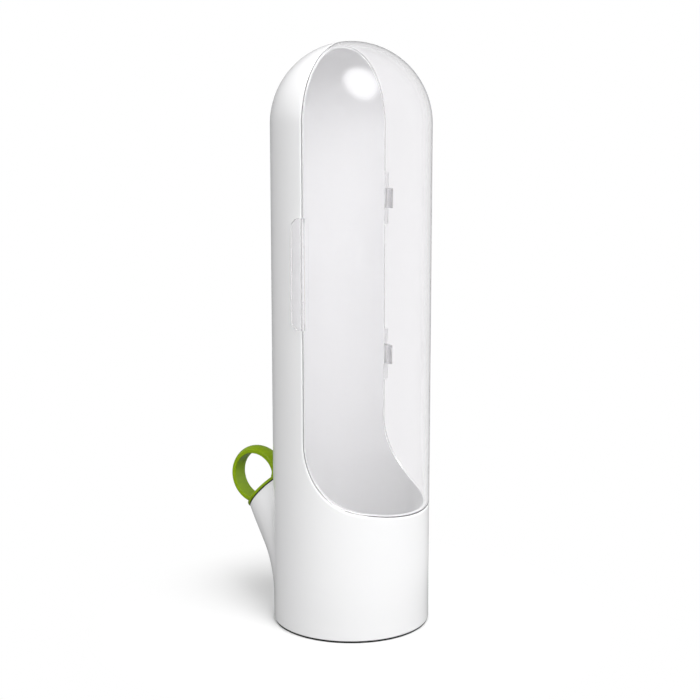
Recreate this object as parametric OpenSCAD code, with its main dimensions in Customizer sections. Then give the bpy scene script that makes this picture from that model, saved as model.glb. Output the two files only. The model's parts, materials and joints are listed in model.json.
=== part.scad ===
// Upright storage pod for fresh greens: a white capsule with a clear front door,
// a water reservoir in its foot and a filling spout closed by a ring-pull stopper.
// Millimetres, +Z up. The origin is on the capsule's axis, on the surface it stands on.
// The door faces -Y, the spout points to +Y, and the door's hinge is on the +X side.

/* [Pod] */
// Outer diameter of the capsule
pod_d = 70; // [60:1:84]
// Height from the standing surface to the top of the dome
pod_h = 256; // [230:1:320]
// Thickness of the moulded white wall
wall = 2.6; // [2.5:0.1:3.4]

/* [Window] */
// How far behind the axis the window's straight side edges stand
split_back = 3; // [1:0.5:5]
// Height at which the straight side edges turn into the corner curve
corner_z = 87; // [82:1:100]
// Radius of the corner curve, seen from the side
corner_r = 31; // [24:0.5:33]
// Fall of the front lip towards the front, in degrees
lip_slope = 14; // [8:1:20]
// Width of the thin ledge behind the door's edge
ledge_w = 0.7; // [0.5:0.1:2.4]

/* [Door] */
// Thickness of the clear door
door_wall = 1.6; // [1.2:0.1:1.8]
// Gap between the door's edge and the window's edge
door_gap = 0.3; // [0.2:0.05:0.5]
// Room between the door's inner face and the ledge
ledge_gap = 0.3; // [0.2:0.05:0.4]

/* [Pull tab] */
// Distance of the middle of the tab below the dome
tab_drop = 62; // [45:1:80]
// Length of the tab along the door's edge
tab_h = 47; // [20:1:60]
// How far the tab reaches back over the white shell
tab_reach = 4; // [3:0.5:8]
// How far the tab's root reaches forward on the door
tab_root = 1.6; // [1:0.1:4]
// Thickness of the tab
tab_t = 1.3; // [1:0.1:2]
// Finger gap between the tab and the shell
tab_gap = 0.4; // [0.3:0.1:1]
// Chamfer on the tab's rear corners
tab_chamfer = 2.5; // [1:0.5:3]

/* [Hinge] */
// Distance of the upper hinge's middle below the dome
hinge_drop = 33; // [20:1:50]
// Distance of the lower hinge's middle above the window's corner curve
hinge_lift = 29; // [18:1:45]
// Outer radius of the knuckles
knuckle_r = 2.6; // [2.2:0.1:3]
// Length of each knuckle on the shell
shell_knuckle_h = 7; // [5:0.5:10]
// Length of the knuckle on the door
door_knuckle_h = 9; // [6:0.5:12]
// Gap between neighbouring knuckles
knuckle_gap = 0.3; // [0.2:0.1:0.6]
// Distance of the hinge axis behind the window's side edge
hinge_back = 1.5; // [1:0.1:2]
// Distance of the hinge axis outside the capsule's surface
hinge_out = 1.2; // [0.9:0.1:1.6]
// Length of the web from a knuckle's axis to where it runs into the wall
web_len = 6; // [5:0.5:8]
// Depth of the web's foot inside the wall's surface
web_depth = 0.8; // [0.5:0.1:1]
// Where the web's outer face leaves the knuckle, in degrees from straight out
web_turn = 20; // [10:1:40]
// Diameter of the hinge pin
pin_d = 2; // [1.5:0.1:2.4]
// Floor under the pin in the lowest knuckle
pin_floor = 1.5; // [1:0.1:2.5]
// Radial clearance of the pin in the shell's knuckles
pin_fit = 0.02; // [0.01:0.01:0.05]
// Radial clearance of the pin in the door's knuckle
pin_run = 0.06; // [0.03:0.01:0.1]

/* [Spout] */
// Distance of the mouth's centre outside the capsule's surface
mouth_out = 9; // [9:0.1:14]
// Height of the mouth's centre
mouth_z = 52.9; // [45:0.1:58]
// Rise of the spout's axis above the horizontal, in degrees
spout_rise = 42; // [36:1:48]
// Outer diameter of the mouth
mouth_d = 25; // [22:0.5:25.5]
// Wall of the spout at its mouth
spout_wall = 2.2; // [1.8:0.1:3]
// Flare of the spout's skin towards its root, in degrees
spout_flare = 16.5; // [12:0.5:18]

/* [Stopper] */
// Thickness of the sealing washer under the flange
washer_t = 0.5; // [0.4:0.1:1.2]
// Step of the washer's edge inside the mouth's edge
washer_inset = 0.35; // [0.1:0.05:0.8]
// Thickness of the stopper's flange
flange_t = 1.2; // [1:0.1:2.5]
// Length of the plug below the mouth
plug_len = 9; // [6:0.5:9.5]
// Radial clearance of the plug's ribs in the bore
plug_gap = 0.25; // [0.2:0.05:0.5]
// Height of the sealing ribs on the plug
rib_h = 0.6; // [0.3:0.1:1]
// Depth that the round section of a rib is sunk into the plug
rib_sink = 0.2; // [0.1:0.05:0.4]
// Number of sealing ribs
rib_count = 2; // [1:1:3]
// Wall of the hollow plug
plug_wall = 2; // [1.5:0.1:3]
// Outer diameter of the finger ring
ring_d = 28; // [22:0.2:28.2]
// Thickness of the ring's band at its middle
ring_band = 3.2; // [2:0.1:3.2]
// Width of the ring's band
ring_w = 8; // [5:0.2:10]
// Distance of the ring's centre above the mouth
ring_rise = 9.4; // [8:0.1:11]
// Shift of the ring's centre towards the capsule
ring_shift = 0; // [0:0.1:1]
// How much thinner the ring's band is at its edges
ring_crown = 1.5; // [0.5:0.1:1.7]

/* [Base] */
// Thickness of the non-slip pad that the pod stands on
pad_t = 0.8; // [0.6:0.1:2]
// Step of the pad's edge inside the capsule's surface
pad_inset = 0.4; // [0.2:0.1:1]
// Thickness of the bottom cap's disc
cap_t = 2.5; // [2:0.1:4]
// Width of the shoulder that the cap's disc seats against
cap_shoulder = 1.2; // [0.8:0.1:1.4]
// Radial clearance of the cap in the shell
cap_gap = 0.15; // [0.1:0.05:0.3]
// Height of the cap's spigot above its disc
spigot_h = 6; // [5:0.5:7]
// Wall of the cap's spigot
spigot_wall = 3.2; // [2.8:0.1:4]
// Section diameter of the bottom seal ring
seal_d = 1.7; // [1.2:0.1:2]
// Clearance around the bottom seal ring
seal_gap = 0.03; // [0.02:0.01:0.1]

/* [Hidden] */
$fn = 96;

pod_r = pod_d / 2;
inner_r = pod_r - wall;
ledge_r = pod_r - door_wall - ledge_gap;
dome_z = pod_h - pod_r;
over = 5;
reach = 2 * pod_d;

// Hinge axis in plan: behind the window's edge and just outside the capsule
hinge_r = pod_r + hinge_out;
hinge_y = split_back + hinge_back;
hinge_x = sqrt(hinge_r ^ 2 - hinge_y ^ 2);
hinge_turn = atan2(hinge_y, hinge_x);
hinge_heights = [corner_z + hinge_lift, dome_z - hinge_drop];
pin_r = pin_d / 2;
door_knuckle_z = [-door_knuckle_h / 2, door_knuckle_h / 2];
upper_knuckle_z = [door_knuckle_z[1] + knuckle_gap, door_knuckle_z[1] + knuckle_gap + shell_knuckle_h];
lower_knuckle_z = [-upper_knuckle_z[1], -upper_knuckle_z[0]];
pin_z = [lower_knuckle_z[0] + pin_floor, upper_knuckle_z[1]];

mouth_r = mouth_d / 2;
bore_r = mouth_r - spout_wall;
mouth_y = pod_r + mouth_out;
// The spout's skin runs from the mouth until its lowest side reaches the middle of the pod's wall
spout_len = (mouth_out + mouth_r * sin(spout_rise) + wall / 2)
    / (cos(spout_rise) - tan(spout_flare) * sin(spout_rise));
root_r = mouth_r + spout_len * tan(spout_flare);
plug_r = bore_r - plug_gap;
rib_r = rib_h + rib_sink;
ring_r = ring_d / 2;

cap_r = inner_r + cap_shoulder;
shoulder_z = pad_t + cap_t;
seal_z = shoulder_z + spigot_h / 2;
seal_r = inner_r - seal_gap - seal_d / 2;

// Solid capsule of radius r whose straight part starts at height z0
module pod_solid(r, z0) {
    translate([0, 0, z0]) cylinder(r = r, h = dome_z - z0);
    translate([0, 0, dome_z]) sphere(r = r);
}

// Everything in front of the window's edge, drawn in by inset: straight side edges,
// a round corner and a front lip that falls towards the front
module window_region(inset) {
    edge_y = split_back - inset;
    round_r = corner_r - inset;
    translate([-reach, edge_y - reach, corner_z]) cube([2 * reach, reach, pod_h]);
    translate([0, split_back - corner_r, corner_z]) rotate([lip_slope, 0, 0]) {
        rotate([0, 90, 0]) cylinder(r = round_r, h = 2 * reach, center = true);
        translate([-reach, -reach, -round_r]) cube([2 * reach, reach, pod_h]);
    }
}

// Moves its children to the hinge axis, with +X pointing out of the capsule
module at_hinge(z) {
    translate([hinge_x, hinge_y, z]) rotate([0, 0, hinge_turn]) children();
}

// Radial place of a web's foot, measured from the hinge axis, at a distance t beside it
function web_foot(t) = sqrt(pod_r ^ 2 - t ^ 2) - hinge_r - web_depth;

// Knuckle over a span of heights, with a web that runs into the wall behind (1) or in front (-1)
module knuckle(span, side) {
    root = hinge_back + door_gap;
    translate([0, 0, span[0]]) {
        cylinder(r = knuckle_r, h = span[1] - span[0]);
        linear_extrude(span[1] - span[0]) polygon([
            [0, 0],
            [knuckle_r * cos(web_turn), side * knuckle_r * sin(web_turn)],
            [web_foot(web_len), side * web_len],
            [web_foot(root), side * root]]);
    }
}

// Room for a knuckle of the other piece, all round the hinge axis
module knuckle_room(span) {
    translate([0, 0, span[0] - knuckle_gap])
        cylinder(r = knuckle_r + knuckle_gap, h = span[1] - span[0] + 2 * knuckle_gap);
}

// Moves its children to the mouth of the spout, with +Z pointing out along its axis
// and +Y pointing up and back towards the capsule
module at_mouth() {
    translate([0, mouth_y, mouth_z]) rotate([spout_rise - 90, 0, 0]) mirror([0, 1, 0]) children();
}

// Lip on the door's free edge: a flat plate that stands clear of the shell, on a root
// that is sunk to the middle of the door's wall
module pull_tab() {
    low = dome_z - tab_drop - tab_h / 2;
    high = low + tab_h;
    front = split_back - door_gap - tab_root;
    edge = split_back - door_gap;
    back = split_back + tab_reach;
    face = pod_r + tab_gap;
    translate([-face, 0, 0]) rotate([90, 0, -90]) linear_extrude(tab_t) polygon([
        [-front, low], [-front, high], [-back + tab_chamfer, high], [-back, high - tab_chamfer],
        [-back, low + tab_chamfer], [-back + tab_chamfer, low]]);
    translate([-face - tab_t, front, low]) cube([tab_t + tab_gap + door_wall / 2, edge - front, tab_h]);
}

// Plain wire pin, level with the top of its highest knuckle
module hinge_pin(z) {
    at_hinge(z) translate([0, 0, pin_z[0]]) cylinder(r = pin_r, h = pin_z[1] - pin_z[0]);
}

// White back of the capsule with its dome, reservoir wall, spout and hinge knuckles
module body_shell() color("white") {
    difference() {
        union() {
            difference() {
                pod_solid(pod_r, pad_t);
                difference() {
                    window_region(0);
                    pod_solid(ledge_r, 0);
                }
                for (z = hinge_heights) at_hinge(z) knuckle_room(door_knuckle_z);
            }
            for (z = hinge_heights, span = [lower_knuckle_z, upper_knuckle_z])
                at_hinge(z) knuckle(span, 1);
            at_mouth() translate([0, 0, -spout_len]) cylinder(r1 = root_r, r2 = mouth_r, h = spout_len);
        }
        pod_solid(inner_r, -over);
        window_region(ledge_w);
        translate([0, 0, -over]) cylinder(r = cap_r, h = shoulder_z + over);
        at_mouth() translate([0, 0, -spout_len]) cylinder(r = bore_r, h = spout_len + over);
        for (z = hinge_heights) at_hinge(z) translate([0, 0, pin_z[0]])
            cylinder(r = pin_r + pin_fit, h = pin_z[1] - pin_z[0] + over);
    }
}

// Clear front with half of the dome, its hinge knuckles and the pull tab
module front_door() color([0.85, 0.9, 0.95, 0.4]) {
    difference() {
        union() {
            difference() {
                intersection() {
                    difference() {
                        pod_solid(pod_r, pad_t);
                        pod_solid(pod_r - door_wall, 0);
                    }
                    window_region(door_gap);
                }
                for (z = hinge_heights, span = [lower_knuckle_z, upper_knuckle_z])
                    at_hinge(z) knuckle_room(span);
            }
            for (z = hinge_heights) at_hinge(z) knuckle(door_knuckle_z, -1);
            pull_tab();
        }
        for (z = hinge_heights) at_hinge(z) translate([0, 0, pin_z[0]])
            cylinder(r = pin_r + pin_run, h = pin_z[1] - pin_z[0]);
    }
}

module upper_hinge_pin() color("silver") hinge_pin(hinge_heights[1]);

module lower_hinge_pin() color("silver") hinge_pin(hinge_heights[0]);

// Disc that closes the moulded tube from below, with a spigot that carries the seal
module bottom_cap() color("white") {
    spigot_r = inner_r - cap_gap;
    difference() {
        union() {
            translate([0, 0, pad_t]) cylinder(r = cap_r - cap_gap, h = cap_t);
            translate([0, 0, shoulder_z]) cylinder(r = spigot_r, h = spigot_h);
        }
        translate([0, 0, shoulder_z]) cylinder(r = spigot_r - spigot_wall, h = spigot_h + over);
        translate([0, 0, seal_z - seal_d / 2 - seal_gap]) difference() {
            cylinder(r = pod_r, h = seal_d + 2 * seal_gap);
            translate([0, 0, -over]) cylinder(r = seal_r - seal_d / 2 - seal_gap, h = seal_d + 3 * over);
        }
    }
}

// Round seal ring in the cap's groove
module bottom_seal() color("dimgray")
    translate([0, 0, seal_z]) rotate_extrude() translate([seal_r, 0]) circle(d = seal_d, $fn = 48);

// Thin non-slip pad under the cap and the shell's rim
module foot_pad() color([0.2, 0.2, 0.21])
    cylinder(r = pod_r - pad_inset, h = pad_t);

// Green stopper: flange, hollow ribbed plug and finger ring in one piece
module spout_stopper() color("yellowgreen") at_mouth() {
    difference() {
        union() {
            translate([0, 0, washer_t]) cylinder(r = mouth_r, h = flange_t);
            translate([0, 0, -plug_len]) cylinder(r = plug_r - rib_h, h = plug_len + washer_t);
            for (i = [1 : rib_count]) translate([0, 0, -plug_len * i / (rib_count + 1)])
                rotate_extrude() translate([plug_r - rib_r, 0]) circle(r = rib_r, $fn = 48);
        }
        translate([0, 0, -plug_len - over]) cylinder(r = plug_r - rib_h - plug_wall, h = plug_len + over);
    }
    intersection() {
        translate([0, ring_shift, ring_rise]) rotate([0, 90, 0]) finger_ring();
        translate([-reach, -reach, washer_t + flange_t / 2]) cube(2 * reach);
    }
}

// Band of the finger ring about its own axis, flat inside and crowned outside
module finger_ring() {
    in_r = ring_r - ring_band;
    half = ring_w / 2;
    crown = [for (i = [-4 : 4]) [ring_r - ring_crown * (i / 4) ^ 2, half * i / 4]];
    rotate_extrude() polygon(concat([[in_r, -half]], crown, [[in_r, half]]));
}

// Flat soft washer between the flange and the mouth
module stopper_washer() color([0.12, 0.14, 0.08]) at_mouth() difference() {
    cylinder(r = mouth_r - washer_inset, h = washer_t);
    translate([0, 0, -over]) cylinder(r = plug_r, h = washer_t + 2 * over);
}

body_shell();
front_door();
upper_hinge_pin();
lower_hinge_pin();
bottom_cap();
bottom_seal();
foot_pad();
spout_stopper();
stopper_washer();
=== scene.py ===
"""Looks of the upright storage pod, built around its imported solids.

Sizes are millimetres in the pod's own frame: +Z up, the clear door towards -Y, the filling spout
towards +Y and the door's hinge on the +X side. A mesh is scaled to metres when it is made.
"""

import json
import logging
import math
from dataclasses import dataclass, field
from enum import Enum
from typing import Any, Callable, Sequence, Union

import bmesh
import bpy
import numpy as np
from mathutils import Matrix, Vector


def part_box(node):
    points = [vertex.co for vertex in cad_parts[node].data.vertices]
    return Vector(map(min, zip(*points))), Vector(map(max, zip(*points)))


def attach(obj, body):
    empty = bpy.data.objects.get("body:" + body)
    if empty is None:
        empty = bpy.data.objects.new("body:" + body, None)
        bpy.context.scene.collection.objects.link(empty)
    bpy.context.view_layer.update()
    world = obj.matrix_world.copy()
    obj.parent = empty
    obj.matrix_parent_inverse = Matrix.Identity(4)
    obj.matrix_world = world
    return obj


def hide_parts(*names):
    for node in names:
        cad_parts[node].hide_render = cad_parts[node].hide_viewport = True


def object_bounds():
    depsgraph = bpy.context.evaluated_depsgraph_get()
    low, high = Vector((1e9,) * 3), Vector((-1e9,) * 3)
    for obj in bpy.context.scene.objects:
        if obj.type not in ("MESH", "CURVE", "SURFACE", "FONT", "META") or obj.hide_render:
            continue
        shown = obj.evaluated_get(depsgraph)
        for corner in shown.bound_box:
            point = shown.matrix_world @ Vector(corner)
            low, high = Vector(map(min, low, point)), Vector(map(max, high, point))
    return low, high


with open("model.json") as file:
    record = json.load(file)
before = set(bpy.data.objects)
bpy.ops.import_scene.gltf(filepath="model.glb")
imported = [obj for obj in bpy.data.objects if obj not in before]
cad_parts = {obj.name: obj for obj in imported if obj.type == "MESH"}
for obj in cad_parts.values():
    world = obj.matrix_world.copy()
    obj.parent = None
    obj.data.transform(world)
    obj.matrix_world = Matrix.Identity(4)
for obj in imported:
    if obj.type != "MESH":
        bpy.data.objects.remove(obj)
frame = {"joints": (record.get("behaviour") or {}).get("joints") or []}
cad_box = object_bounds()

MM = 0.001
WELD = 2e-7
SHARP_ANGLE = math.radians(50)
LOG = logging.getLogger("pod")

Array = np.ndarray
Colour = tuple[float, float, float]


class Body(Enum):
    """The bodies that pieces ride on."""

    HOUSING = "housing"
    DOOR = "door"
    STOPPER = "stopper"


class Slot(Enum):
    """The record's material slots."""

    WHITE = "white_plastic"
    CLEAR = "clear_plastic"
    GREEN = "green_plastic"
    RUBBER = "dark_rubber"
    STEEL = "pin_steel"


class Facing(Enum):
    """The side of the dome that a sheet covers, as the sign of its Y direction."""

    FRONT = -1
    BACK = 1


# Mesh helpers


@dataclass(frozen=True)
class Axes:
    """A place and three unit directions on which local points are laid out."""

    origin: Array
    x: Array
    y: Array
    z: Array

    def matrix(self) -> Array:
        """The three directions as rows."""
        return np.stack([self.x, self.y, self.z])

    def place(self, local: Array) -> Array:
        """Local points in the pod's frame."""
        return self.origin + local @ self.matrix()

    def local(self, points: Array) -> Array:
        """Points of the pod's frame on these axes."""
        return (points - self.origin) @ self.matrix().T


UPRIGHT = Axes(np.zeros(3), *np.eye(3))


def points_at(*coordinates: Any) -> Array:
    """Points from their coordinates, which are spread to one shape."""
    return np.stack(np.broadcast_arrays(*coordinates), axis=-1)


class Skin:
    """A mesh gathered from grids of points, which are welded where they meet."""

    def __init__(self) -> None:
        """Starts with no points."""
        self._points: list[Array] = []
        self._quads: list[Array] = []
        self._count = 0

    def grid(self, points: Array, wrap_u: bool = False, wrap_v: bool = False,
             keep: Union[Array, None] = None) -> None:
        """Adds a sheet of quads between neighbouring points of a grid.

        Args:
            points: The grid, rows by columns by three.
            wrap_u: Joins the last row to the first.
            wrap_v: Joins the last column to the first.
            keep: Which quads stay, rows by columns, or None for all.
        """
        rows, columns = points.shape[:2]
        index = np.arange(rows * columns).reshape(rows, columns) + self._count
        index = np.vstack([index, index[:1]]) if wrap_u else index
        index = np.hstack([index, index[:, :1]]) if wrap_v else index
        quads = np.stack([index[:-1, :-1], index[1:, :-1], index[1:, 1:], index[:-1, 1:]], axis=-1)
        self._quads.append((quads if keep is None else quads[keep]).reshape(-1, 4))
        self._points.append(points.reshape(-1, 3))
        self._count += rows * columns

    def reshape(self, change: Callable[[Array], Array]) -> None:
        """Moves every point gathered so far by a function of the points."""
        self._points = [change(points) for points in self._points]

    def piece(self, name: str) -> bpy.types.Object:
        """Makes the mesh object, welded, with outward normals and smooth faces.

        Args:
            name: The object's name.

        Returns:
            The new object, at the origin.
        """
        mesh = bpy.data.meshes.new(name)
        points = np.concatenate(self._points) * MM
        mesh.from_pydata(points.tolist(), [], np.concatenate(self._quads).tolist())
        work = bmesh.new()
        work.from_mesh(mesh)
        bmesh.ops.remove_doubles(work, verts=work.verts, dist=WELD)
        bmesh.ops.dissolve_degenerate(work, edges=work.edges, dist=WELD)
        bmesh.ops.recalc_face_normals(work, faces=work.faces)
        work.to_mesh(mesh)
        work.free()
        mesh.shade_smooth()
        mesh.set_sharp_from_angle(angle=SHARP_ANGLE)
        made = bpy.data.objects.new(name, mesh)
        bpy.context.scene.collection.objects.link(made)
        return made


def rounded(corners: Sequence[tuple[float, float, float]], steps: int = 5) -> Array:
    """Rounds the corners of an open line.

    A corner p with directions a and b to its neighbours and radius r becomes the quarter ellipse
    p + a r (1 - sin t) + b r (1 - cos t), with one more point past each end that keeps flats flat.

    Args:
        corners: Points as (first, second, radius), where a radius of 0 keeps the point.
        steps: Segments of each rounding.

    Returns:
        The points of the line, count by two.
    """
    support = 1.35
    turn = np.linspace(0, math.pi / 2, steps + 1)[:, None]
    points = np.array([corner[:2] for corner in corners], float)
    line = []
    for place, (*_, radius) in enumerate(corners):
        point = points[place]
        if radius == 0:
            line.append(point[None])
            continue
        before, after = points[place - 1] - point, points[place + 1] - point
        back, ahead = before / np.linalg.norm(before), after / np.linalg.norm(after)
        arc = point + back * radius * (1 - np.sin(turn)) + ahead * radius * (1 - np.cos(turn))
        line += [(point + back * radius * support)[None], arc, (point + ahead * radius * support)[None]]
    return np.concatenate(line)


def lathe(profile: Array, axes: Axes = UPRIGHT, steps: int = 128) -> Array:
    """Turns a profile about an axis: (radius, height) becomes (radius cos t, radius sin t, height).

    Args:
        profile: Radii and heights, count by two.
        axes: The axes, whose z is the axis that it turns about.
        steps: Points round the axis.

    Returns:
        The grid of points, profile by turn by three.
    """
    turn = np.arange(steps) * (2 * math.pi / steps)
    radius, height = profile[:, :1], profile[:, 1:]
    return axes.place(points_at(radius * np.cos(turn), radius * np.sin(turn), height))


def turned(name: str, profile: Array, axes: Axes = UPRIGHT, steps: int = 128,
           closed: bool = False) -> bpy.types.Object:
    """Makes a piece by turning a profile about an axis.

    Args:
        name: The object's name.
        profile: Radii and heights, count by two.
        axes: The axes, whose z is the axis that it turns about.
        steps: Points round the axis.
        closed: Joins the profile's last point to its first.

    Returns:
        The new object.
    """
    skin = Skin()
    skin.grid(lathe(profile, axes, steps), wrap_u=closed, wrap_v=True)
    return skin.piece(name)


def node_box(name: str) -> tuple[Array, Array]:
    """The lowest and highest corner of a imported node, in millimetres."""
    low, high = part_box(name)
    return np.array(low) / MM, np.array(high) / MM


def joint(name: str) -> dict[str, Any]:
    """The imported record's entry of a joint."""
    return next(entry for entry in frame["joints"] if entry["name"] == name)


# Shared form of the capsule


@dataclass(frozen=True)
class Capsule:
    """The pod's capsule: its radius and height come from the imported door, its foot's height from the
    imported pad.
    """

    radius: float = field(default_factory=lambda: -node_box("front_door")[0][1])
    height: float = field(default_factory=lambda: node_box("front_door")[1][2])
    foot_z: float = field(default_factory=lambda: node_box("foot_pad")[1][2])
    wall: float = 2.6
    door_wall: float = 1.6
    ledge_gap: float = 0.3

    @property
    def dome_z(self) -> float:
        """Height of the dome's centre."""
        return self.height - self.radius

    @property
    def inner_r(self) -> float:
        """Inner radius of the white wall."""
        return self.radius - self.wall

    @property
    def ledge_r(self) -> float:
        """Outer radius of the ledge behind the door."""
        return self.radius - self.door_wall - self.ledge_gap

    @staticmethod
    def around(radius: Union[float, Array], azimuth: Array, height: Array) -> Array:
        """Points (radius sin a, -radius cos a, height), where azimuth 0 is the front."""
        return points_at(radius * np.sin(azimuth), -radius * np.cos(azimuth), height)

    def dome_half(self, radius: float, edge_y: float, facing: Facing, shares: Array,
                  slices: int = 40) -> Array:
        """One side of the dome, cut by an upright plane y = edge_y.

        Planes hinge about the line where that plane meets the dome's foot. At tilt t a plane cuts the
        sphere in a circle of radius sqrt(radius^2 - (edge_y sin t)^2), and each row follows that
        circle from the -X end of the line to its +X end.

        Args:
            radius: Radius of the sphere.
            edge_y: Place of the cutting plane.
            facing: The side that is kept.
            shares: Places along each circle, from 0 to 1.
            slices: Steps of the tilt, from level to upright.

        Returns:
            The grid of points, tilt by share by three.
        """
        tilt = np.linspace(0, math.pi / 2, slices + 1)[:, None]
        toward = facing.value
        circle = np.sqrt(radius ** 2 - (edge_y * np.sin(tilt)) ** 2)
        half = np.arccos(np.clip(edge_y * toward * np.cos(tilt) / circle, -1, 1))
        turn = (2 * shares[None] - 1) * half
        reach = circle * np.cos(turn)
        y = edge_y * np.sin(tilt) ** 2 + reach * toward * np.cos(tilt)
        z = self.dome_z - edge_y * toward * np.cos(tilt) * np.sin(tilt) + reach * np.sin(tilt)
        return points_at(circle * np.sin(turn), y, z)


@dataclass(frozen=True)
class Window:
    """The window's edge: upright sides, round corners and a lip that falls towards the front."""

    capsule: Capsule
    split_back: float = 3.0
    corner_z: float = 87.0
    corner_r: float = 31.0
    lip_slope: float = math.radians(14)
    ledge_w: float = 0.7
    door_gap: float = 0.3
    lip_steps: int = 44
    corner_steps: int = 30

    def lower(self, inset: float, radius: float) -> Array:
        """The edge's lower part on the capsule, from the -X corner round the front to the +X one.

        In side view it is a straight lip, z = z0 + (y - y0) tan(slope), that runs into a circle about
        the corner's centre. On the capsule x = sqrt(radius^2 - y^2).

        Args:
            inset: How far the edge is drawn into the window.
            radius: Radius of the capsule that it lies on.

        Returns:
            The points, count by three.
        """
        round_r = self.corner_r - inset
        centre_y = self.split_back - self.corner_r
        join_y = centre_y + round_r * math.sin(self.lip_slope)
        join_z = self.corner_z - round_r * math.cos(self.lip_slope)
        azimuth = np.linspace(0, math.acos(-join_y / radius), self.lip_steps + 1)
        lip_y = -radius * np.cos(azimuth)
        lip_z = join_z + (lip_y - join_y) * math.tan(self.lip_slope)
        bend = np.linspace(math.pi / 2 - self.lip_slope, 0, self.corner_steps + 1)[1:]
        y = np.concatenate([lip_y, centre_y + round_r * np.cos(bend)])
        z = np.concatenate([lip_z, self.corner_z - round_r * np.sin(bend)])
        x = np.sqrt(np.maximum(radius ** 2 - y ** 2, 0))
        half = points_at(x, y, z)
        return np.concatenate([half[:0:-1] * [-1, 1, 1], half])

    def ring(self, inset: float, radius: float, heights: Array, shares: Array) -> Array:
        """The whole edge as a closed ring: lower part, +X side, dome from +X to -X, -X side.

        Args:
            inset: How far the edge is drawn into the window.
            radius: Radius of the capsule that it lies on.
            heights: Heights of the points on the upright sides, ends included.
            shares: Places over the dome, from 0 at -X to 1 at +X.

        Returns:
            The points, count by three.
        """
        y = self.split_back - inset
        across = math.sqrt(radius ** 2 - y ** 2)
        side = points_at(across, y, heights[1:-1])
        turn = math.pi * shares[::-1]
        dome = points_at(-across * np.cos(turn), y, self.capsule.dome_z + across * np.sin(turn))
        return np.concatenate([self.lower(inset, radius), side, dome, side[::-1] * [-1, 1, 1]])

    def band(self, profile: Array, heights: Array, shares: Array) -> Array:
        """Carries a profile of (inset, radius) along the window's edge."""
        return np.stack([self.ring(inset, radius, heights, shares) for inset, radius in profile])


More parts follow.
